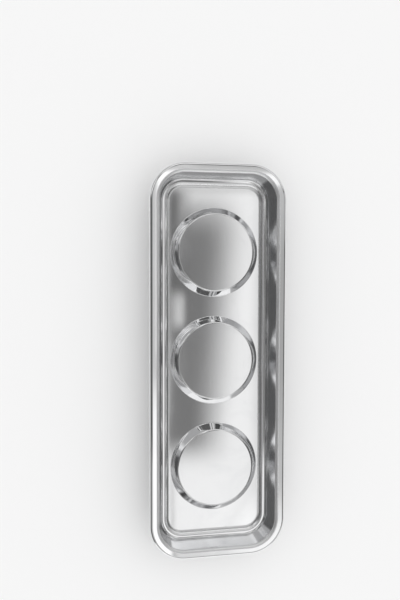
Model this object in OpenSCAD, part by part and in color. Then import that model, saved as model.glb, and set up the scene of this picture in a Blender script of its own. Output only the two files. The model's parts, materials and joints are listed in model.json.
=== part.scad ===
// Magnetic parts tray: a stamped steel tray on three rubber-covered pot magnets.
// Millimetres. X runs across the tray, Y along it, Z up. The origin is on the table, under the middle.

/* [Tray] */
// Length over the rim
tray_length = 220; // [190:1:300]
// Width over the rim
tray_width = 77.5; // [70:0.5:88]
// Depth from the rim's top to the floor
tray_depth = 12.4; // [9:0.1:20]
// Thickness of the steel sheet
sheet = 0.6; // [0.4:0.1:0.9]
// Radius of the rim's outer corners
corner_radius = 20.3; // [17:0.1:26]

/* [Rim and wall] */
// Flat width of the rim's top
rim_flat = 2.2; // [1:0.1:5]
// Radius of the rolled outer edge, at the middle of the sheet
curl_radius = 1.3; // [0.9:0.1:2]
// Angle that the rolled edge turns through
curl_angle = 185; // [120:5:200]
// Radius of the bend from rim to wall, at the middle of the sheet
rim_bend = 1.5; // [0.8:0.1:2]
// Slope of the wall, from upright
wall_angle = 17; // [10:1:30]
// Radius of the bend at the foot of the wall, at the middle of the sheet
foot_bend = 1.2; // [0.7:0.1:2]
// Flat width of the ledge between wall and step
ledge_width = 0.75; // [0.4:0.05:3]
// Height of the step from floor to ledge
step_rise = 1.4; // [1:0.1:2.5]
// Slope of the step, from flat
step_angle = 45; // [35:1:60]
// Radius of the bend from ledge to step, at the middle of the sheet
step_bend = 0.9; // [0.5:0.1:1.2]
// Radius of the bend from step to floor, at the middle of the sheet
floor_bend = 3.3; // [0.7:0.1:3.6]

/* [Bosses] */
// Height of the bosses over the floor
boss_height = 4.2; // [2.5:0.1:6]
// Slope of a boss's side, from flat
boss_angle = 52; // [40:1:60]
// Radius of a boss's two bends, at the middle of the sheet
boss_bend = 0.8; // [0.5:0.1:1.2]
// Flat floor left between a boss and the step beside it
boss_margin = 0.5; // [0.4:0.1:4]

/* [Magnets] */
// Depth of the magnet base under the tray's floor
base_drop = 8; // [6:0.5:14]
// Room round the cup, inside the flat under a boss
cup_clearance = 1.2; // [0.4:0.1:3]
// Thickness of the cup's wall
cup_wall = 1.5; // [1:0.1:2.5]
// Thickness of the cup's back
cup_back = 1.5; // [1.2:0.1:2.5]
// Outer rounding of the cup's shoulder
cup_round = 1.2; // [0.4:0.1:1.8]
// Thickness of the plastic ring round the magnet
gap_ring_wall = 1.4; // [0.8:0.1:2.5]
// Room round the washer in the magnet's hole
magnet_hole_clearance = 3; // [1:0.5:5]

/* [Fasteners] */
// Thread size of the weld stud
stud_d = 5; // [4:1:6]
// Diameter of the stud's weld flange
stud_flange_d = 6.6; // [6:0.1:8]
// Thickness of the stud's weld flange
stud_flange = 0.8; // [0.5:0.1:1.1]
// Length of stud that shows past the nut
stud_tip = 0.8; // [0.4:0.1:1.5]
// Rim of washer past the cup's hole, and past the nut's flats
washer_rim = 1; // [0.6:0.1:2]
// Thickness of the washer
washer_thickness = 1; // [0.6:0.1:1.4]
// Width of the nut across its flats
nut_flats = 8; // [7:0.5:10]
// Height of the nut
nut_height = 3.8; // [3:0.1:4.2]

/* [Rubber boots] */
// Thickness of the boot's side
boot_wall = 2.3; // [1.5:0.1:2.6]
// Thickness of the boot's base
boot_base = 1.6; // [1:0.1:2.4]
// Rounding of the boot's bottom edge
boot_round = 1.4; // [0.6:0.1:2]
// Gap between the boot's lip and the slope of the boss
lip_clearance = 0.25; // [0.1:0.05:0.6]
// Height of the bevel on the boot's lip
lip_bevel = 0.6; // [0.2:0.1:1]

/* [Hidden] */
$fn = 96;
boss_count = 3;
slide_fit = 0.05; // room between pieces that slide together
cut = 0.5; // extra depth of a cut past the surface it opens
floor_lap = 0.3; // flat strip of each bent section that runs into the floor
bend_step = 12; // largest turn between two points of a bend, in degrees

// Steps of a sheet's section: a straight is [length], a bend is [radius, angle]
function bend_rise(r, angle) = r * (1 - cos(angle));
function bend_run(r, angle) = r * sin(angle);
function slope_length(rise, radii, angle) = (rise - bend_rise(radii, angle)) / sin(angle);
function slope_run(rise, radii, angle) =
    bend_run(radii, angle) + slope_length(rise, radii, angle) * cos(angle);

// Section of the tray's edge, outwards from the floor
wall_slope = 90 - wall_angle;
wall_rise = tray_depth - step_rise;
wall_radii = foot_bend + rim_bend;
floor_fillet = min(floor_bend, 0.95 * step_rise / (1 - cos(step_angle)) - step_bend); // as the step allows
step_radii = floor_fillet + step_bend;
edge_steps = [
    [floor_lap],
    [floor_fillet, step_angle],
    [slope_length(step_rise, step_radii, step_angle)],
    [step_bend, -step_angle],
    [ledge_width],
    [foot_bend, wall_slope],
    [slope_length(wall_rise, wall_radii, wall_slope)],
    [rim_bend, -wall_slope],
    [rim_flat],
    [curl_radius, -curl_angle]
];
edge_run = slope_run(step_rise, step_radii, step_angle) + ledge_width
    + slope_run(wall_rise, wall_radii, wall_slope) + rim_flat + curl_radius + sheet / 2;

// Centres of the rounded corners, and the floor inside the step
corner_x = tray_width / 2 - corner_radius;
corner_y = tray_length / 2 - corner_radius;
floor_radius = corner_radius - edge_run;
floor_half_x = corner_x + floor_radius;
floor_half_y = corner_y + floor_radius;
floor_z = base_drop + sheet / 2;

// Bosses fill the floor's width and stand evenly along it
boss_r = floor_half_x - boss_margin;
boss_gap = (2 * floor_half_y - boss_count * 2 * boss_r) / (boss_count + 1);
boss_pitch = 2 * boss_r + boss_gap;
boss_flat_r = boss_r - slope_run(boss_height, 2 * boss_bend, boss_angle);
boss_steps = [
    [floor_lap],
    [boss_bend, -boss_angle],
    [slope_length(boss_height, 2 * boss_bend, boss_angle)],
    [boss_bend, boss_angle],
    [boss_flat_r]
];
boss_y = [for (i = [0 : boss_count - 1]) (i - (boss_count - 1) / 2) * boss_pitch];
ceiling_z = base_drop + boss_height;

// Magnet stack, down from the ceiling under a boss
cup_r = boss_flat_r - cup_clearance;
cup_inner_r = cup_r - cup_wall;
cup_height = ceiling_z - boot_base;
cup_hole_r = stud_flange_d / 2 + 2 * slide_fit;
seat_z = ceiling_z - cup_back;
magnet_height = seat_z - boot_base;
magnet_r = cup_inner_r - gap_ring_wall - 2 * slide_fit;
washer_r = max(cup_hole_r, nut_flats / 2) + washer_rim;
magnet_hole_r = washer_r + magnet_hole_clearance;
nut_z = seat_z - washer_thickness - nut_height;
nut_corner_r = nut_flats / 2 / cos(30);
nut_chamfer = (nut_corner_r - nut_flats / 2) * tan(30);
stud_hole_r = stud_d / 2 + slide_fit;
stud_chamfer = stud_tip / 2;

// Boot, cut under the slope of the boss
boot_inner_r = cup_r + 2 * slide_fit;
boot_r = boot_inner_r + boot_wall;
slope_offset = sheet / 2 + lip_clearance;
slope_top_r = boss_flat_r + bend_run(boss_bend, boss_angle) - slope_offset * sin(boss_angle);
slope_top_z = ceiling_z + sheet / 2 - bend_rise(boss_bend, boss_angle) - slope_offset * cos(boss_angle);
function slope_z(r) = slope_top_z - (r - slope_top_r) * tan(boss_angle);
function slope_r(z) = slope_top_r + (slope_top_z - z) / tan(boss_angle);
lip_z = slope_z(boot_r) + lip_bevel;

// Places along a sheet's section, each [x, y, heading]
function after_straight(p, length) = [p.x + length * cos(p.z), p.y + length * sin(p.z), p.z];
function after_bend(p, r, angle) =
    let (turn = sign(angle), heading = p.z + angle)
    [
        p.x + turn * r * (sin(heading) - sin(p.z)),
        p.y - turn * r * (cos(heading) - cos(p.z)),
        heading
    ];
function bend_count(angle) = ceil(abs(angle) / bend_step);
function step_places(p, step) =
    len(step) == 1
        ? [after_straight(p, step[0])]
        : [for (k = [1 : bend_count(step[1])]) after_bend(p, step[0], step[1] * k / bend_count(step[1]))];
function last(list) = list[len(list) - 1];
function places(p, steps, i = 0) =
    i == len(steps)
        ? [p]
        : let (next = step_places(p, steps[i])) concat([p], trimmed(next), places(last(next), steps, i + 1));
function trimmed(list) = [for (i = [0 : 1 : len(list) - 2]) list[i]];
function beside(p, distance) = [p.x - distance * sin(p.z), p.y + distance * cos(p.z)];

// Section of a sheet that follows the steps from a place and heading
module sheet_section(start, steps) {
    middle = places(start, steps);
    count = len(middle);
    polygon(concat(
        [for (i = [0 : count - 1]) beside(middle[i], sheet / 2)],
        [for (i = [count - 1 : -1 : 0]) beside(middle[i], -sheet / 2)]
    ));
}

// Section of the tray's edge, measured from the centre of a corner
module edge_section() {
    sheet_section([floor_radius - floor_lap, floor_z, 0], edge_steps);
}

// One straight side of the edge, at a distance from the middle of the tray
module edge_side(distance, half_length) {
    translate([distance, half_length, 0])
        rotate([90, 0, 0])
            linear_extrude(height = 2 * half_length)
                edge_section();
}

// The edge all round: four straight sides and four round corners
module tray_edge() {
    for (turn = [0, 180]) {
        rotate(turn)
            edge_side(corner_x, corner_y);
        rotate(turn + 90)
            edge_side(corner_y, corner_x);
        rotate(turn)
            translate([corner_x, corner_y, 0])
                rotate_extrude(angle = 90)
                    edge_section();
        rotate(turn)
            translate([-corner_x, corner_y, 0])
                rotate(90)
                    rotate_extrude(angle = 90)
                        edge_section();
    }
}

module floor_outline() {
    square([2 * floor_half_x, 2 * corner_y], center = true);
    square([2 * corner_x, 2 * floor_half_y], center = true);
    for (x = [-corner_x, corner_x], y = [-corner_y, corner_y])
        translate([x, y])
            circle(floor_radius);
}

module tray_floor() {
    translate([0, 0, base_drop])
        linear_extrude(height = sheet)
            difference() {
                floor_outline();
                for (y = boss_y)
                    translate([0, y])
                        circle(boss_r);
            }
}

// One raised boss, from the floor in to its middle
module boss() {
    rotate_extrude()
        sheet_section([boss_r + floor_lap, floor_z, 180], boss_steps);
}

module tray_shell() {
    color([0.78, 0.79, 0.80])
        union() {
            tray_edge();
            tray_floor();
            for (y = boss_y)
                translate([0, y, 0])
                    boss();
        }
}

// Flanged stud, welded under the middle of a boss
module weld_stud() {
    length = ceiling_z - nut_z + stud_tip;
    color([0.72, 0.70, 0.62])
        translate([0, 0, ceiling_z - length]) {
            translate([0, 0, length - stud_flange])
                cylinder(h = stud_flange, d = stud_flange_d);
            translate([0, 0, stud_chamfer])
                cylinder(h = length - stud_chamfer, d = stud_d);
            cylinder(h = stud_chamfer, d1 = stud_d - 2 * stud_chamfer, d2 = stud_d);
        }
}

// Steel cup, open downwards, with a rounded shoulder
module magnet_cup() {
    color([0.66, 0.67, 0.69])
        translate([0, 0, boot_base])
            rotate_extrude()
                difference() {
                    union() {
                        square([cup_r, cup_height - cup_round]);
                        square([cup_r - cup_round, cup_height]);
                        translate([cup_r - cup_round, cup_height - cup_round])
                            circle(cup_round);
                    }
                    translate([0, -cut])
                        square([cup_inner_r, magnet_height + cut]);
                    square([cup_hole_r, cup_height + cut]);
                }
}

// Flat ring between two radii, with its bottom at a height
module flat_ring(outer_r, inner_r, bottom, height) {
    translate([0, 0, bottom])
        difference() {
            cylinder(h = height, r = outer_r);
            translate([0, 0, -cut])
                cylinder(h = height + 2 * cut, r = inner_r);
        }
}

module gap_ring() {
    color([0.85, 0.83, 0.76])
        flat_ring(cup_inner_r - slide_fit, magnet_r + slide_fit, boot_base, magnet_height);
}

module ring_magnet() {
    color([0.20, 0.20, 0.21])
        flat_ring(magnet_r, magnet_hole_r, boot_base, magnet_height);
}

module washer() {
    color([0.74, 0.75, 0.76])
        flat_ring(washer_r, stud_hole_r, seat_z - washer_thickness, washer_thickness);
}

// Hexagon nut with turned corners
module lock_nut() {
    color([0.74, 0.75, 0.76])
        translate([0, 0, nut_z])
            difference() {
                intersection() {
                    cylinder(h = nut_height, r = nut_corner_r, $fn = 6);
                    rotate_extrude()
                        polygon([
                            [0, 0],
                            [nut_flats / 2, 0],
                            [nut_corner_r, nut_chamfer],
                            [nut_corner_r, nut_height - nut_chamfer],
                            [nut_flats / 2, nut_height],
                            [0, nut_height]
                        ]);
                }
                translate([0, 0, -cut])
                    cylinder(h = nut_height + 2 * cut, r = stud_hole_r);
            }
}

// Rubber boot, with its lip tucked up inside the boss
module rubber_boot() {
    color([0.08, 0.08, 0.09])
        rotate_extrude()
            difference() {
                union() {
                    square([boot_r - boot_round, 2 * boot_round]);
                    translate([boot_r - boot_round, boot_round])
                        circle(boot_round);
                    polygon([
                        [0, boot_round],
                        [boot_r, boot_round],
                        [boot_r, slope_z(boot_r)],
                        [slope_r(lip_z), lip_z],
                        [0, lip_z]
                    ]);
                }
                translate([0, boot_base])
                    square([boot_inner_r, lip_z]);
            }
}

tray_shell();
for (i = [1 : boss_count])
    translate([0, boss_y[i - 1], 0]) {
        weld_stud();
        magnet_cup();
        gap_ring();
        ring_magnet();
        washer();
        lock_nut();
        rubber_boot();
    }
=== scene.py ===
import json
import math
import bmesh
import bpy
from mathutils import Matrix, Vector

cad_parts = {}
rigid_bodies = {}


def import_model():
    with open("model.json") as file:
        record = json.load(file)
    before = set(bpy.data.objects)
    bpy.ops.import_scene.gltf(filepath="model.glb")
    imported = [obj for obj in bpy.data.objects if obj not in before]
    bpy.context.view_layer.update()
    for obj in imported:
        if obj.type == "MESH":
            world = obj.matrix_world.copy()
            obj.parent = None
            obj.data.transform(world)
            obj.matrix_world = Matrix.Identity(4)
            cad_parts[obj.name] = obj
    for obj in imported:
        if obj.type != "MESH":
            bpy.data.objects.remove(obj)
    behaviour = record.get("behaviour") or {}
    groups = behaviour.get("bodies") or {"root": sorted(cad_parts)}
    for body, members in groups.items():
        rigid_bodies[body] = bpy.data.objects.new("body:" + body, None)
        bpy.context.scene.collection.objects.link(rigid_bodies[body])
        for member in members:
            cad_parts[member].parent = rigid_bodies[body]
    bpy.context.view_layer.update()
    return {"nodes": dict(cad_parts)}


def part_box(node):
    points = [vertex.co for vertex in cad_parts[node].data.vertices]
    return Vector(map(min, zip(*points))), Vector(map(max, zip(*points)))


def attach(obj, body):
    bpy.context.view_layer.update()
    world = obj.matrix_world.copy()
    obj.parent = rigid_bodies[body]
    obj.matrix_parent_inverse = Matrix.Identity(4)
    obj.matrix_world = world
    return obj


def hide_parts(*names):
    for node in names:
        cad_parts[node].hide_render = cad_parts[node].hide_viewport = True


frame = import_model()
mm = 0.001
tiny = 0.001 * mm  # points closer than this are one point
creaseAngle = math.radians(40)  # edges sharper than this stay sharp
scene = bpy.context.scene
scene.view_settings.view_transform = "Standard"
print("frame loaded:", len(frame["nodes"]), "nodes")


# Working helpers

def deselectAll():
    if bpy.context.mode != "OBJECT":
        bpy.ops.object.mode_set(mode="OBJECT")
    bpy.ops.object.select_all(action="DESELECT")


def selectOnly(obj):
    deselectAll()
    obj.select_set(True)
    bpy.context.view_layer.objects.active = obj


def nameActive(name):
    bpy.context.object.name = name
    bpy.context.object.data.name = name
    return bpy.context.object


def freshMesh():  # the open mesh with its normals worked out anew
    bm = bmesh.from_edit_mesh(bpy.context.edit_object.data)
    bm.normal_update()
    return bm


def pick(kind, test):  # selects verts, edges or faces of the open mesh by place or normal
    bpy.ops.mesh.select_mode(type=kind)
    bpy.ops.mesh.select_all(action="DESELECT")
    bm = freshMesh()
    parts = {"VERT": bm.verts, "EDGE": bm.edges, "FACE": bm.faces}[kind]
    for part in parts:
        if test(part):
            part.select_set(True)
    bm.select_flush_mode()
    bmesh.update_edit_mesh(bpy.context.edit_object.data)


def weldOpenMesh():  # joins points that meet and turns all faces one way
    bpy.ops.mesh.select_all(action="SELECT")
    bpy.ops.mesh.remove_doubles(threshold=tiny)
    freshMesh()  # the next step starts from these normals
    bpy.ops.mesh.normals_make_consistent(inside=False)


def applyModifiers(obj):
    selectOnly(obj)
    for modifier in list(obj.modifiers):
        bpy.ops.object.modifier_apply(modifier=modifier.name)


def walkSection(start, heading, steps, bendStep, support):
    # steps are ("line", length) or ("bend", radius, degrees); a plus bend turns left
    points = [Vector((start[0], 0, start[1]))]
    angle = math.radians(heading)
    for step in steps:
        if step[0] == "line":
            ahead = Vector((math.cos(angle), 0, math.sin(angle)))
            stops = [step[1]]
            if step[1] > 4 * support:  # short ends keep the middle flat
                stops = [support, step[1] - 2 * support, support]
            for stop in stops:
                points.append(points[-1] + ahead * stop)
            continue
        radius, turn = step[1], math.radians(step[2])
        side = math.copysign(1, turn)
        centre = points[-1] + side * radius * Vector((-math.sin(angle), 0, math.cos(angle)))
        count = math.ceil(abs(step[2]) / bendStep)
        for i in range(1, count + 1):
            a = angle + turn * i / count
            points.append(centre + side * radius * Vector((math.sin(a), 0, -math.cos(a))))
        angle += turn
    return points


def drawSection(name, points):  # one vertex, pulled from point to point
    deselectAll()
    bpy.ops.mesh.primitive_plane_add(size=mm, location=(0, 0, 0))
    obj = nameActive(name)
    bpy.ops.object.mode_set(mode="EDIT")
    bpy.ops.mesh.select_mode(type="VERT")
    bpy.ops.mesh.select_all(action="SELECT")
    bpy.ops.mesh.merge(type="CENTER")
    bpy.ops.transform.translate(value=points[0])
    for last, here in zip(points, points[1:]):
        bpy.ops.mesh.extrude_region_move(TRANSFORM_OT_translate={"value": here - last})
    return obj


# Finishes: shared effects first, then one material for each kind of surface

def addNode(nodes, kind, values=None, **settings):
    node = nodes.new("ShaderNode" + kind)
    for key, value in settings.items():
        setattr(node, key, value)
    for key, value in (values or {}).items():
        node.inputs[key].default_value = value
    return node


def joinValues(nodes, links, operation, values):  # the first with the second, then with the third
    joined = values[0]
    for value in values[1:]:
        node = addNode(nodes, "Math", operation=operation)
        links.new(joined, node.inputs[0])
        links.new(value, node.inputs[1])
        joined = node.outputs[0]
    return joined


def newGroup(name, gives):  # every group takes a place and a density, and gives plain values
    group = bpy.data.node_groups.new(name, "ShaderNodeTree")
    for label, kind in (("Place", "Vector"), ("Density", "Float")):
        group.interface.new_socket(label, in_out="INPUT", socket_type="NodeSocket" + kind)
    for label in gives:
        group.interface.new_socket(label, in_out="OUTPUT", socket_type="NodeSocketFloat")
    return group, group.nodes.new("NodeGroupInput"), group.nodes.new("NodeGroupOutput")


def rollingGrainGroup():  # fine lines along the sheet, as the mill leaves them
    group, start, end = newGroup("rollingGrain", ["Lines"])
    nodes, links = group.nodes, group.links
    stretch = addNode(nodes, "Mapping", {"Scale": (1, 0.012, 0.35)})
    noise = addNode(nodes, "TexNoise", {"Detail": 4, "Roughness": 0.65})
    links.new(start.outputs["Place"], stretch.inputs["Vector"])
    links.new(stretch.outputs["Vector"], noise.inputs["Vector"])
    links.new(start.outputs["Density"], noise.inputs["Scale"])
    links.new(noise.outputs["Fac"], end.inputs["Lines"])
    return group


def handlingGroup():  # soft smudges, and hairlines from parts that slid over the steel
    group, start, end = newGroup("handling", ["Smudge", "Hairline"])
    nodes, links = group.nodes, group.links
    cloud = addNode(nodes, "TexNoise", {"Detail": 5, "Roughness": 0.6, "Distortion": 0.7})
    patch = addNode(nodes, "MapRange", {"From Min": 0.46, "From Max": 0.72},
                    interpolation_type="SMOOTHSTEP")
    links.new(start.outputs["Place"], cloud.inputs["Vector"])
    links.new(start.outputs["Density"], cloud.inputs["Scale"])
    links.new(cloud.outputs["Fac"], patch.inputs["Value"])
    links.new(patch.outputs["Result"], end.inputs["Smudge"])
    streaks = []
    for turn, stretchBy in ((0.35, 55), (1.25, 70), (2.3, 60)):  # three ways that parts slid
        lay = addNode(nodes, "Mapping", {"Rotation": (0, 0, turn), "Scale": (stretchBy, 2.2, 3)})
        streak = addNode(nodes, "TexNoise", {"Detail": 1, "Roughness": 0.4})
        thin = addNode(nodes, "MapRange", {"From Min": 0.70, "From Max": 0.78})
        links.new(start.outputs["Place"], lay.inputs["Vector"])
        links.new(lay.outputs["Vector"], streak.inputs["Vector"])
        links.new(start.outputs["Density"], streak.inputs["Scale"])
        links.new(streak.outputs["Fac"], thin.inputs["Value"])
        streaks.append(thin.outputs["Result"])
    links.new(joinValues(nodes, links, "MAXIMUM", streaks), end.inputs["Hairline"])
    return group


def sheetWavesGroup():  # the slight unevenness of pressed sheet
    group, start, end = newGroup("sheetWaves", ["Height"])
    noise = addNode(group.nodes, "TexNoise", {"Detail": 1.5, "Roughness": 0.35})
    group.links.new(start.outputs["Place"], noise.inputs["Vector"])
    group.links.new(start.outputs["Density"], noise.inputs["Scale"])
    group.links.new(noise.outputs["Fac"], end.inputs["Height"])
    return group


def mouldGrainGroup():  # the eroded face that a mould gives rubber and plastic
    group, start, end = newGroup("mouldGrain", ["Height", "Tone"])
    nodes, links = group.nodes, group.links
    cells = addNode(nodes, "TexVoronoi", {"Randomness": 1}, feature="SMOOTH_F1")
    cloud = addNode(nodes, "TexNoise", {"Detail": 6, "Roughness": 0.6})
    slow = addNode(nodes, "Math", {1: 0.06}, operation="MULTIPLY")  # tone is coarser than the cells
    links.new(start.outputs["Place"], cells.inputs["Vector"])
    links.new(start.outputs["Density"], cells.inputs["Scale"])
    links.new(cells.outputs["Distance"], end.inputs["Height"])
    links.new(start.outputs["Density"], slow.inputs[0])
    links.new(start.outputs["Place"], cloud.inputs["Vector"])
    links.new(slow.outputs[0], cloud.inputs["Scale"])
    links.new(cloud.outputs["Fac"], end.inputs["Tone"])
    return group


rollingGrain = rollingGrainGroup()
handling = handlingGroup()
sheetWaves = sheetWavesGroup()
mouldGrain = mouldGrainGroup()
print("shared effects:", ", ".join(group.name for group in bpy.data.node_groups))


def newMaterial(name):
    material = bpy.data.materials.new(name)
    material.use_nodes = True
    return material, material.node_tree.nodes, material.node_tree.links


def placeGroup(nodes, links, group, place, density):
    node = addNode(nodes, "Group", node_tree=group)
    node.inputs["Density"].default_value = density
    links.new(place, node.inputs["Place"])
    return node


def span(nodes, links, value, low, high):  # a value from 0 to 1, brought to another range
    node = addNode(nodes, "MapRange", {"To Min": low, "To Max": high})
    links.new(value, node.inputs["Value"])
    return node.outputs["Result"]


def blendColours(nodes, links, share, first, second):
    node = addNode(nodes, "Mix", data_type="RGBA")
    node.inputs["A"].default_value = first
    node.inputs["B"].default_value = second
    links.new(share, node.inputs["Factor"])
    return node.outputs["Result"]


def addBump(nodes, links, height, distance, before=None):
    node = addNode(nodes, "Bump", {"Strength": 1, "Distance": distance})
    links.new(height, node.inputs["Height"])
    if before is not None:
        links.new(before, node.inputs["Normal"])
    return node.outputs["Normal"]


steelEffects = {"lines": 2600, "marks": 42, "waves": 55}  # density of each, per metre

# steel of the tray: tint clean and dulled, roughness from line to line, how much smudges
# and hairlines add to it, and the height of waves and grain in metres
steelFinishes = {
    "polishedSteel": {  # rim and boss sides
        "tint": (0.86, 0.862, 0.866, 1), "dull": (0.83, 0.833, 0.84, 1), "rough": (0.025, 0.045),
        "smudge": 0.012, "hairline": 0.025, "waves": 1.6e-5, "grain": 1.2e-7},
    "wallSteel": {
        "tint": (0.77, 0.774, 0.784, 1), "dull": (0.72, 0.724, 0.736, 1), "rough": (0.13, 0.19),
        "smudge": 0.02, "hairline": 0.03, "waves": 1.6e-5, "grain": 3.0e-7},
    "floorSteel": {
        "tint": (0.86, 0.862, 0.866, 1), "dull": (0.83, 0.833, 0.84, 1), "rough": (0.04, 0.065),
        "smudge": 0.012, "hairline": 0.03, "waves": 1.2e-5, "grain": 2.5e-7},
    "discSteel": {  # boss tops
        "tint": (0.86, 0.862, 0.866, 1), "dull": (0.83, 0.833, 0.84, 1), "rough": (0.07, 0.10),
        "smudge": 0.015, "hairline": 0.03, "waves": 1.0e-5, "grain": 3.0e-7},
    "filletSteel": {  # hollow bend round the floor
        "tint": (0.84, 0.843, 0.848, 1), "dull": (0.80, 0.803, 0.81, 1), "rough": (0.22, 0.28),
        "smudge": 0.015, "hairline": 0.03, "waves": 1.2e-5, "grain": 3.0e-7},
    "bendHighlightSteel": {  # bends under the rim and over the step: rougher, with a lighter tint that is a painted highlight
        "tint": (0.90, 0.902, 0.906, 1), "dull": (0.87, 0.873, 0.88, 1), "rough": (0.38, 0.46),
        "smudge": 0.015, "hairline": 0.03, "waves": 1.2e-5, "grain": 2.0e-7},
    "outerSteel": {  # the underside, last in the row
        "tint": (0.74, 0.744, 0.752, 1), "dull": (0.60, 0.603, 0.61, 1), "rough": (0.12, 0.24),
        "smudge": 0.08, "hairline": 0.08, "waves": 2.0e-5, "grain": 5.0e-7},
}


def makeSteel(name):
    finish = steelFinishes[name]
    material, nodes, links = newMaterial(name)
    steel = nodes["Principled BSDF"]
    steel.inputs["Metallic"].default_value = 1
    place = addNode(nodes, "TexCoord").outputs["Object"]
    lines = placeGroup(nodes, links, rollingGrain, place, steelEffects["lines"])
    marks = placeGroup(nodes, links, handling, place, steelEffects["marks"])
    waves = placeGroup(nodes, links, sheetWaves, place, steelEffects["waves"])
    colour = blendColours(nodes, links, marks.outputs["Smudge"], finish["tint"], finish["dull"])
    links.new(colour, steel.inputs["Base Color"])
    rough = joinValues(nodes, links, "ADD", [
        span(nodes, links, lines.outputs["Lines"], *finish["rough"]),
        span(nodes, links, marks.outputs["Smudge"], 0, finish["smudge"]),
        span(nodes, links, marks.outputs["Hairline"], 0, finish["hairline"])])
    links.new(rough, steel.inputs["Roughness"])
    normal = addBump(nodes, links, waves.outputs["Height"], finish["waves"])
    normal = addBump(nodes, links, lines.outputs["Lines"], finish["grain"], normal)
    links.new(normal, steel.inputs["Normal"])
    return material


# Tray shell

trayShape = {  # millimetres and degrees, radii at the middle of the sheet
    "sheet": 0.6,
    "cornerRadius": 20.3,
    "rimFlat": 2.2,
    "curlRadius": 1.3,
    "curlAngle": 185,
    "rimBend": 1.5,
    "wallAngle": 17,
    "footBend": 1.2,
    "ledgeWidth": 0.75,
    "ledgeTilt": 4,
    "stepRise": 1.4,
    "stepAngle": 45,
    "stepBend": 0.9,
    "floorBend": 3.3,
    "bossHeight": 4.2,
    "bossAngle": 52,
    "bossBend": 0.8,
    "bossRadius": 25.2,
    "cornerSteps": 32,
    "bossSides": 160,
    "bendStep": 6,
    "support": 0.1,  # short ends of flat stretches
}


def bendRise(radius, angle):  # how far a bend climbs
    return radius * (1 - math.cos(math.radians(angle)))


def slopeLength(rise, radii, angle):  # the straight between two bends
    return (rise - bendRise(radii, angle)) / math.sin(math.radians(angle))


def bossRows():  # places of the bosses along the tray, front to back
    boots = [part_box(f"rubber_boot_{i}") for i in (1, 2, 3)]
    return sorted((low.y + high.y) / 2 for low, high in boots)


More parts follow.
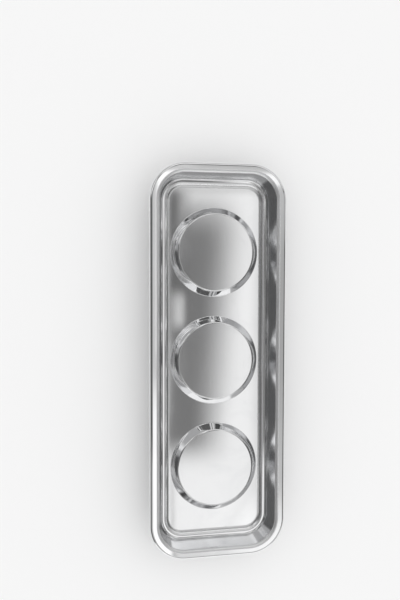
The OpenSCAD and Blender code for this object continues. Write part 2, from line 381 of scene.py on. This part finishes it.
def makeTray(shape):
    low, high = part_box("tray_shell")
    half = shape["sheet"] / 2
    support = shape["support"]
    bendStep = shape["bendStep"]
    floorTop = low.z / mm + shape["sheet"]
    wallSlope = 90 - shape["wallAngle"]
    stepRadii = shape["floorBend"] + shape["stepBend"]

    # the edge: a section of the upper face, spun round one corner and pulled to the middle
    footSteps = [
        ("line", support),
        ("bend", shape["floorBend"] - half, shape["stepAngle"]),
        ("line", slopeLength(shape["stepRise"], stepRadii, shape["stepAngle"])),
        ("bend", shape["stepBend"] + half, shape["ledgeTilt"] - shape["stepAngle"]),
        ("line", shape["ledgeWidth"]),
        ("bend", shape["footBend"] - half, wallSlope - shape["ledgeTilt"]),
    ]
    rimSteps = [
        ("bend", shape["rimBend"] + half, -wallSlope),
        ("line", shape["rimFlat"]),
        ("bend", shape["curlRadius"] + half, -shape["curlAngle"]),
    ]
    footTop = walkSection((0, floorTop), 0, footSteps, bendStep, support)[-1].z
    wallStep = ("line", slopeLength(high.z / mm - footTop, shape["rimBend"] + half, wallSlope))
    allSteps = footSteps + [wallStep] + rimSteps
    section = walkSection((0, floorTop), 0, allSteps, bendStep, support)
    shift = Vector((shape["cornerRadius"] - max(p.x for p in section), 0, 0))
    corner = Vector((high.x / mm - shape["cornerRadius"], high.y / mm - shape["cornerRadius"], 0))
    tray = drawSection("trayShell", [(corner + (p + shift)) * mm for p in section])
    corner *= mm
    bpy.ops.mesh.select_all(action="SELECT")
    bpy.ops.mesh.spin(steps=shape["cornerSteps"], angle=math.pi / 2, center=corner, axis=(0, 0, -1))
    pick("EDGE", lambda e: all(abs(v.co.x - corner.x) < tiny for v in e.verts))
    bpy.ops.mesh.extrude_region_move(TRANSFORM_OT_translate={"value": (-corner.x, 0, 0)})
    pick("EDGE", lambda e: all(
        abs(v.co.y - corner.y) < tiny and v.co.x > corner.x + tiny for v in e.verts))
    bpy.ops.mesh.extrude_region_move(TRANSFORM_OT_translate={"value": (0, -corner.y, 0)})
    bpy.ops.object.mode_set(mode="OBJECT")
    mirror = tray.modifiers.new("bothSides", "MIRROR")
    mirror.use_axis = (True, True, False)
    mirror.merge_threshold = tiny
    applyModifiers(tray)

    # the bosses: a disc, raised ring by ring, then copied along the row
    bossSteps = [
        ("line", support),
        ("bend", shape["bossBend"] - half, -shape["bossAngle"]),
        ("line", slopeLength(shape["bossHeight"], 2 * shape["bossBend"], shape["bossAngle"])),
        ("bend", shape["bossBend"] + half, shape["bossAngle"]),
        ("line", support),
    ]
    bossFoot = (shape["bossRadius"] + support, floorTop)
    rings = walkSection(bossFoot, 180, bossSteps, bendStep, support)
    rows = bossRows()
    deselectAll()
    bpy.ops.mesh.primitive_circle_add(
        vertices=shape["bossSides"], radius=rings[0].x * mm, fill_type="NGON", location=(0, 0, 0))
    bosses = nameActive("trayBosses")
    bpy.ops.object.mode_set(mode="EDIT")
    bpy.ops.mesh.select_mode(type="FACE")
    bpy.ops.mesh.select_all(action="SELECT")
    bpy.ops.transform.translate(value=(0, rows[0], floorTop * mm))
    for last, here in zip(rings, rings[1:]):
        bpy.ops.mesh.inset(thickness=(last.x - here.x) * mm, depth=(here.z - last.z) * mm)
    bpy.ops.mesh.select_all(action="SELECT")
    for last, here in zip(rows, rows[1:]):
        bpy.ops.mesh.duplicate_move(TRANSFORM_OT_translate={"value": (0, here - last, 0)})
    selectOnly(tray)
    bosses.select_set(True)
    bpy.ops.object.join()

    # the floor closes the gap between the edge and the bosses
    bpy.ops.object.mode_set(mode="EDIT")
    floorZ = floorTop * mm
    pick("EDGE", lambda e: e.is_boundary and all(abs(v.co.z - floorZ) < tiny for v in e.verts))
    bpy.ops.mesh.fill(use_beauty=True)
    weldOpenMesh()
    floorFaces = [f for f in freshMesh().faces if abs(f.calc_center_median().z - floorZ) < tiny]
    if floorFaces[0].normal.z < 0:
        bpy.ops.mesh.flip_normals()
    bpy.ops.object.mode_set(mode="OBJECT")

    # each face gets the finish of its place on the sheet
    finishOrder = list(steelFinishes)
    for name in finishOrder:
        tray.data.materials.append(makeSteel(name))
    bossZ = (floorTop + shape["bossHeight"]) * mm
    bossReach = (shape["bossRadius"] + support) * mm
    filletRise = bendRise(shape["floorBend"] - half, shape["stepAngle"]) * mm
    ledgeRise = shape["stepRise"] * mm
    rimDepth = bendRise(shape["rimBend"] + half, wallSlope) * mm
    wallNormal = math.cos(math.radians(wallSlope))
    normalSlack = 0.01
    flatNormal = 0.999
    for face in tray.data.polygons:
        rise = face.center.z - floorZ
        flat = face.normal.z > flatNormal
        inward = face.normal.xy.dot(face.center.xy) < 0
        onWall = inward and abs(face.normal.z - wallNormal) < normalSlack
        nearBoss = any(math.hypot(face.center.x, face.center.y - row) < bossReach for row in rows)
        onFillet = tiny < rise < filletRise and not nearBoss and not onWall
        overStep = filletRise < rise < ledgeRise - tiny and not nearBoss
        underRim = -rimDepth < face.center.z - high.z < -tiny
        # the bends take the lighter tint, a painted highlight that makes them read white
        onBend = (underRim or overStep) and inward and not onWall and face.normal.z > wallNormal
        places = {
            "wallSteel": onWall,
            "floorSteel": flat and abs(rise) < tiny,
            "discSteel": flat and abs(face.center.z - bossZ) < tiny,
            "filletSteel": onFillet,
            "bendHighlightSteel": onBend,
        }
        finish = next((name for name, here in places.items() if here), "polishedSteel")
        face.material_index = finishOrder.index(finish)
    sheet = tray.modifiers.new("sheetThickness", "SOLIDIFY")
    sheet.thickness = shape["sheet"] * mm
    sheet.offset = -1
    sheet.use_even_offset = True
    sheet.material_offset = finishOrder.index("outerSteel")
    sheet.material_offset_rim = finishOrder.index("outerSteel")
    applyModifiers(tray)
    bpy.ops.object.shade_smooth_by_angle(angle=creaseAngle)
    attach(tray, "root")
    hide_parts("tray_shell")
    print("tray shell:", len(tray.data.polygons), "faces")


makeTray(trayShape)


# Rubber boots

bootShape = {  # millimetres and degrees
    "wall": 2.3,
    "base": 1.6,
    "round": 1.4,
    "roundSteps": 8,
    "lipDrop": 0.6,
    "lipAngle": 52,
    "lipFoot": (0.08, 0.15),  # in and down
    "lipCrest": (0.08, 0.06),  # in and down
    "lipFlat": 0.25,
    "mouthRound": 0.35,
    "mouthEase": 0.08,
    "seatRound": 0.5,
    "seatEase": 0.15,
    "bead": 0.15,
    "beadAt": 5,
    "beadReach": 0.35,
    "beadShoulder": (0.04, 0.15),  # in, and up or down
    "grooves": (7.5, 12, 16.5),
    "grooveWide": 0.9,
    "grooveDeep": 0.35,
    "grooveSlope": 0.2,
    "sides": 96,
}

rubberFinish = {
    "black": (0.018, 0.018, 0.019, 1),
    "dusty": (0.055, 0.054, 0.053, 1),
    "gloss": 0.4,
    "rough": (0.55, 0.78),
    "pebble": 1800,
    "marks": 60,
    "depth": 4e-5,
}


def bootRubber(finish):
    material, nodes, links = newMaterial("bootRubber")
    rubber = nodes["Principled BSDF"]
    rubber.inputs["Specular IOR Level"].default_value = finish["gloss"]
    place = addNode(nodes, "TexCoord").outputs["Object"]
    grain = placeGroup(nodes, links, mouldGrain, place, finish["pebble"])
    marks = placeGroup(nodes, links, handling, place, finish["marks"])
    colour = blendColours(nodes, links, marks.outputs["Smudge"], finish["black"], finish["dusty"])
    links.new(colour, rubber.inputs["Base Color"])
    rough = span(nodes, links, grain.outputs["Tone"], *finish["rough"])
    links.new(rough, rubber.inputs["Roughness"])
    normal = addBump(nodes, links, grain.outputs["Height"], finish["depth"])
    links.new(normal, rubber.inputs["Normal"])
    return material


def bootSection(shape, outer, top):  # from the middle of the sole round the lip to the cup's seat
    side = outer - shape["bead"]
    inner = outer - shape["wall"]
    base = shape["base"]
    half, deep = shape["grooveWide"] / 2, shape["grooveDeep"]
    mouth = half + shape["grooveSlope"]
    section = [(0, 0)]
    for groove in shape["grooves"]:
        section += [(groove - mouth, 0), (groove - half, deep)]
        section += [(groove + half, deep), (groove + mouth, 0)]
    for i in range(shape["roundSteps"] + 1):
        a = math.radians(90 * i / shape["roundSteps"])
        section.append((side - shape["round"] * (1 - math.sin(a)), shape["round"] * (1 - math.cos(a))))
    bead, reach = shape["beadAt"], shape["beadReach"]
    ease, shoulder = shape["beadShoulder"]
    section += [(side, bead - reach), (outer - ease, bead - shoulder), (outer, bead)]
    section += [(outer - ease, bead + shoulder), (side, bead + reach)]
    lip = outer - shape["lipDrop"] / math.tan(math.radians(shape["lipAngle"]))
    lipFoot = top - shape["lipDrop"]
    footIn, footDown = shape["lipFoot"]
    crestIn, crestDown = shape["lipCrest"]
    section += [(side, lipFoot - footDown), (side - footIn, lipFoot)]
    section += [(lip - crestIn, top - crestDown), (lip - shape["lipFlat"], top)]
    far, near = shape["mouthRound"], shape["mouthEase"]
    section += [(inner + far, top), (inner + near, top - near), (inner, top - far)]
    far, near = shape["seatRound"], shape["seatEase"]
    section += [(inner, base + far), (inner - near, base + near), (inner - far, base), (0, base)]
    return section


def makeBoots(shape):
    low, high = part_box("rubber_boot_1")
    middle = Vector((0, (low.y + high.y) / 2, 0))
    section = bootSection(shape, (high.x - low.x) / 2 / mm, high.z / mm)
    boot = drawSection("rubberBoot1", [Vector((r, 0, z)) * mm + middle for r, z in section])
    bpy.ops.mesh.select_all(action="SELECT")
    bpy.ops.mesh.spin(steps=shape["sides"], angle=2 * math.pi, center=middle, axis=(0, 0, 1))
    weldOpenMesh()
    bpy.ops.object.mode_set(mode="OBJECT")
    bpy.ops.object.shade_smooth_by_angle(angle=creaseAngle)
    boot.data.materials.append(bootRubber(rubberFinish))
    boots = [boot]
    for number in (2, 3):
        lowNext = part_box(f"rubber_boot_{number}")[0]
        selectOnly(boot)
        bpy.ops.object.duplicate()
        boots.append(nameActive(f"rubberBoot{number}"))
        bpy.ops.object.mode_set(mode="EDIT")
        bpy.ops.mesh.select_all(action="SELECT")
        bpy.ops.transform.translate(value=(0, lowNext.y - low.y, 0))
        bpy.ops.object.mode_set(mode="OBJECT")
    for number, piece in enumerate(boots, 1):
        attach(piece, "root")
        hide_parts(f"rubber_boot_{number}")
    print("rubber boots:", len(boot.data.polygons), "faces each")


makeBoots(bootShape)


# Pieces inside the boots keep the CAD shape and get their own finish

innerFinishes = {
    "zincPlate": {
        "nodes": ("weld_stud", "washer", "lock_nut"), "metal": 1, "tint": (0.70, 0.71, 0.70, 1),
        "second": (0.60, 0.60, 0.54, 1), "rough": (0.22, 0.40), "pebble": 900, "depth": 6e-6},
    "nickelCup": {
        "nodes": ("magnet_cup",), "metal": 1, "tint": (0.64, 0.63, 0.60, 1),
        "second": (0.54, 0.53, 0.50, 1), "rough": (0.26, 0.42), "pebble": 700, "depth": 8e-6},
    "ringPlastic": {
        "nodes": ("gap_ring",), "metal": 0, "tint": (0.72, 0.69, 0.60, 1),
        "second": (0.64, 0.61, 0.52, 1), "rough": (0.42, 0.60), "pebble": 1500, "depth": 2e-5},
    "groundFerrite": {
        "nodes": ("ring_magnet",), "metal": 0, "tint": (0.045, 0.045, 0.048, 1),
        "second": (0.085, 0.083, 0.082, 1), "rough": (0.50, 0.72), "pebble": 2400, "depth": 2.5e-5},
}

innerWear = {
    "marks": 150,
    "tone": (-0.35, 0.75),  # share of the second tint, from tone to tone
    "hairline": 0.35,  # and along hairlines
    "smudge": 0.08,  # roughness added by smudges
}


def innerMaterial(name, finish, wear):
    material, nodes, links = newMaterial(name)
    surface = nodes["Principled BSDF"]
    surface.inputs["Metallic"].default_value = finish["metal"]
    place = addNode(nodes, "TexCoord").outputs["Object"]
    grain = placeGroup(nodes, links, mouldGrain, place, finish["pebble"])
    marks = placeGroup(nodes, links, handling, place, wear["marks"])
    share = joinValues(nodes, links, "ADD", [
        span(nodes, links, grain.outputs["Tone"], *wear["tone"]),
        span(nodes, links, marks.outputs["Hairline"], 0, wear["hairline"])])
    colour = blendColours(nodes, links, share, finish["tint"], finish["second"])
    links.new(colour, surface.inputs["Base Color"])
    rough = joinValues(nodes, links, "ADD", [
        span(nodes, links, grain.outputs["Tone"], *finish["rough"]),
        span(nodes, links, marks.outputs["Smudge"], 0, wear["smudge"])])
    links.new(rough, surface.inputs["Roughness"])
    normal = addBump(nodes, links, grain.outputs["Height"], finish["depth"])
    links.new(normal, surface.inputs["Normal"])
    return material


for name, finish in innerFinishes.items():
    material = innerMaterial(name, finish, innerWear)
    for node in finish["nodes"]:
        for number in (1, 2, 3):
            solid = bpy.data.objects[f"{node}_{number}"]
            solid.data.materials.clear()
            solid.data.materials.append(material)
    print(name, "on", ", ".join(finish["nodes"]))


# Camera at the photograph's place

cameraShape = {
    "location": (-0.09768, 0.05447, 0.41515),
    "turn": (-2.8216, -12.4073, 0.1361),  # degrees
    "sensorWidth": 36,
    "focalPixels": 737.3,
    "imageHeight": 600,
}


def makeCamera(shape):
    camera = bpy.data.objects.new("camera", bpy.data.cameras.new("camera"))
    scene.collection.objects.link(camera)
    camera.location = shape["location"]
    camera.rotation_euler = [math.radians(a) for a in shape["turn"]]
    camera.data.sensor_width = shape["sensorWidth"]
    camera.data.lens = shape["focalPixels"] * shape["sensorWidth"] / shape["imageHeight"]
    scene.camera = camera
    print("camera: lens", round(camera.data.lens, 1), "mm")


makeCamera(cameraShape)


# Floor, light and cards

floorShape = {
    "size": 8,
    "colour": (0.92, 0.92, 0.92, 1),
    "rough": 0.9,
}


def makeFloor(shape):
    deselectAll()
    bpy.ops.mesh.primitive_plane_add(size=shape["size"], location=(0, 0, 0))
    floor = nameActive("floor")
    material, nodes, _ = newMaterial("paleFloor")
    paint = nodes["Principled BSDF"]
    paint.inputs["Base Color"].default_value = shape["colour"]
    paint.inputs["Roughness"].default_value = shape["rough"]
    floor.data.materials.append(material)
    print("floor:", shape["size"], "m wide")


makeFloor(floorShape)

# overhead cards lie flat: place of the middle, width and length, turn, brightness,
# and how wide the soft edges are on the left, right, near and far side
overheadCards = {
    "ceiling": {"at": (0, 0, 1.10), "size": (3, 3), "level": 0.59, "soft": (0.01, 0.01, 0.01, 0.01)},
    "zenithPanel": {"at": (-0.337, 0.121, 0.82), "size": (0.70, 0.847), "level": 0.13,
                    "soft": (0.06, 0.01, 0.07, 0.03)},
    "leftPanel": {"at": (0.09, -0.32, 0.821), "size": (0.067, 0.462), "level": 1.24,
                  "soft": (0.04, 0.01, 0.05, 0.13)},
    "topPanel": {"at": (0.212, -0.149, 0.822), "size": (0.184, 0.673), "level": 1.0,
                 "soft": (0.01, 0.05, 0.09, 0.02)},
    "topGap": {"at": (0.18, -0.045, 0.81), "size": (0.132, 0.499), "turn": -5, "level": 0.20,
               "soft": (0.02, 0.08, 0.06, 0.11)},
    "gapCore": {"at": (0.131, 0.039, 0.805), "size": (0.057, 0.311), "level": 0.10,
                "soft": (0.02, 0.04, 0.09, 0.03)},
    "leftStrip": {"at": (0.127, -0.023, 0.8), "size": (0.034, 0.085), "level": 0.68,
                  "soft": (0.02, 0.01, 0.03, 0.03)},
    "ledgeStrip": {"at": (0.097, 0.045, 0.799), "size": (0.024, 0.34), "level": 1.2,
                   "soft": (0.008, 0.008, 0.05, 0.03)},
    "backStrip": {"at": (0.19, 0.194, 0.798), "size": (0.25, 0.028), "level": 1.2,
                  "soft": (0.03, 0.03, 0.008, 0.008)},
    "backShade": {"at": (0.18, 0.40, 0.797), "size": (0.34, 0.38), "level": 0.1,
                  "soft": (0.06, 0.06, 0.02, 0.06)},
    "frontBox": {"at": (0.27, -0.444, 0.801), "size": (0.251, 0.284), "level": 1.25,
                 "soft": (0.2, 0.05, 0.04, 0.13)},
}

# standing cards face the tray: directions, sizes and soft edge in degrees, brightness, and
# a distance of its own for each, so that no two lie in one place
standingCards = {
    "frontLow": {"azimuth": -89, "elevation": 7, "wide": 72, "high": 54,
                 "level": 1.13, "soft": 1.5, "distance": 0.9},
    "sideTall": {"azimuth": 15, "elevation": 33, "wide": 12, "high": 43,
                 "level": 0.5, "soft": 1.5, "distance": 0.901},
    "backLow": {"azimuth": 61, "elevation": 43, "wide": 65, "high": 17,
                "level": 1.2, "soft": 2.9, "distance": 0.902},
    "backHigh": {"azimuth": 88, "elevation": 67, "wide": 22, "high": 18,
                 "level": 1.3, "soft": 2.0, "distance": 0.903},
    "rightMid": {"azimuth": -9, "elevation": 41, "wide": 53, "high": 43,
                 "level": 0.08, "soft": 1.7, "distance": 0.904},
    "leftFlag": {"azimuth": 200, "elevation": 33, "wide": 64, "high": 44,
                 "level": 0.11, "soft": 2.4, "distance": 0.905},
    "rightLowFlag": {"azimuth": -4, "elevation": 27, "wide": 56, "high": 17,
                     "level": 0.08, "soft": 7.9, "distance": 0.906},
    "rightHighFlag": {"azimuth": -33, "elevation": 71, "wide": 120, "high": 18,
                      "level": 0.42, "soft": 7.0, "distance": 0.907},
    "frontMidFlag": {"azimuth": -70, "elevation": 47, "wide": 79, "high": 23,
                     "level": 0.39, "soft": 2.3, "distance": 0.908},
    "wallFlag": {"azimuth": -22, "elevation": 17, "wide": 84, "high": 17,
                 "level": 0.94, "soft": 7.2, "distance": 0.895},
    "sideStrip": {"azimuth": 140, "elevation": 46, "wide": 20, "high": 36,
                  "level": 0.97, "soft": 1.5, "distance": 0.894},
    "backFlag": {"azimuth": 143, "elevation": 25, "wide": 19, "high": 14,
                 "level": 0.02, "soft": 1.5, "distance": 0.893},
    "frontStrip": {"azimuth": -157, "elevation": 36, "wide": 54, "high": 6,
                   "level": 0.15, "soft": 1.5, "distance": 0.892},
}


def cardFinish(name, size, soft, level):  # glows evenly and fades out towards its four edges
    material, nodes, links = newMaterial(name)
    nodes.remove(nodes["Principled BSDF"])
    split = addNode(nodes, "SeparateXYZ")
    links.new(addNode(nodes, "TexCoord").outputs["Object"], split.inputs[0])
    reachX, reachY = size[0] / 2, size[1] / 2
    fades = []
    for axis, side, reach, fade in (("X", -1, reachX, soft[0]), ("X", 1, reachX, soft[1]),
                                    ("Y", -1, reachY, soft[2]), ("Y", 1, reachY, soft[3])):
        edge = addNode(nodes, "MapRange", {"From Min": side * reach, "From Max": side * (reach - fade)},
                       interpolation_type="SMOOTHSTEP")
        links.new(split.outputs[axis], edge.inputs["Value"])
        fades.append(edge.outputs["Result"])
    mix = addNode(nodes, "MixShader")
    glow = addNode(nodes, "Emission", {"Strength": level})
    links.new(joinValues(nodes, links, "MULTIPLY", fades), mix.inputs[0])
    links.new(addNode(nodes, "BsdfTransparent").outputs[0], mix.inputs[1])
    links.new(glow.outputs[0], mix.inputs[2])
    links.new(mix.outputs[0], nodes["Material Output"].inputs["Surface"])
    return material


def onlyInSteel(obj):  # lights and flags show as reflections only
    obj.visible_camera = False
    obj.visible_diffuse = False
    obj.visible_shadow = False


def makeCard(name, at, size, soft, level, turn=0, facing=False):
    deselectAll()
    bpy.ops.mesh.primitive_plane_add(size=1, location=(0, 0, 0))
    card = nameActive(name)
    bpy.ops.object.mode_set(mode="EDIT")
    bpy.ops.mesh.select_all(action="SELECT")
    bpy.ops.transform.resize(value=(size[0], size[1], 1))
    bpy.ops.object.mode_set(mode="OBJECT")
    card.location = at
    card.rotation_euler.z = math.radians(turn)
    if facing:
        card.rotation_euler = Vector(at).to_track_quat("Z", "Y").to_euler()
    card.data.materials.append(cardFinish(name, size, soft, level))
    onlyInSteel(card)


for name, card in overheadCards.items():
    makeCard(name, card["at"], card["size"], card["soft"], card["level"], card.get("turn", 0))
for name, card in standingCards.items():
    around, up = math.radians(card["azimuth"]), math.radians(card["elevation"])
    far = card["distance"]
    at = Vector((math.cos(up) * math.cos(around), math.cos(up) * math.sin(around), math.sin(up))) * far
    size = [2 * far * math.tan(math.radians(card[side] / 2)) for side in ("wide", "high")]
    makeCard(name, at, size, [far * math.radians(card["soft"])] * 4, card["level"], facing=True)
print("cards:", len(overheadCards) + len(standingCards))

roomShape = {
    "radius": 1.4,
    "height": 1.2,
    "sides": 96,
    "sunk": 0.01,
    "level": 0.51,
    "soft": (0.1, 0.1, 0.1, 0.1),
}


def makeRoom(shape):  # grey walls round the set
    deselectAll()
    middle = shape["height"] / 2 - shape["sunk"]
    bpy.ops.mesh.primitive_cylinder_add(
        vertices=shape["sides"], radius=shape["radius"], depth=shape["height"],
        end_fill_type="NOTHING", location=(0, 0, middle))
    room = nameActive("room")
    wide = 4 * shape["radius"]  # the soft edges stay outside the walls
    room.data.materials.append(cardFinish("room", (wide, wide), shape["soft"], shape["level"]))
    onlyInSteel(room)
    print("room:", shape["radius"], "m round")


makeRoom(roomShape)

studioLight = {"colour": (1, 1, 1, 1), "strength": 1}
world = bpy.data.worlds.new("studio")
scene.world = world
world.use_nodes = True
background = world.node_tree.nodes["Background"]
background.inputs["Color"].default_value = studioLight["colour"]
background.inputs["Strength"].default_value = studioLight["strength"]
print("studio light: strength", studioLight["strength"])
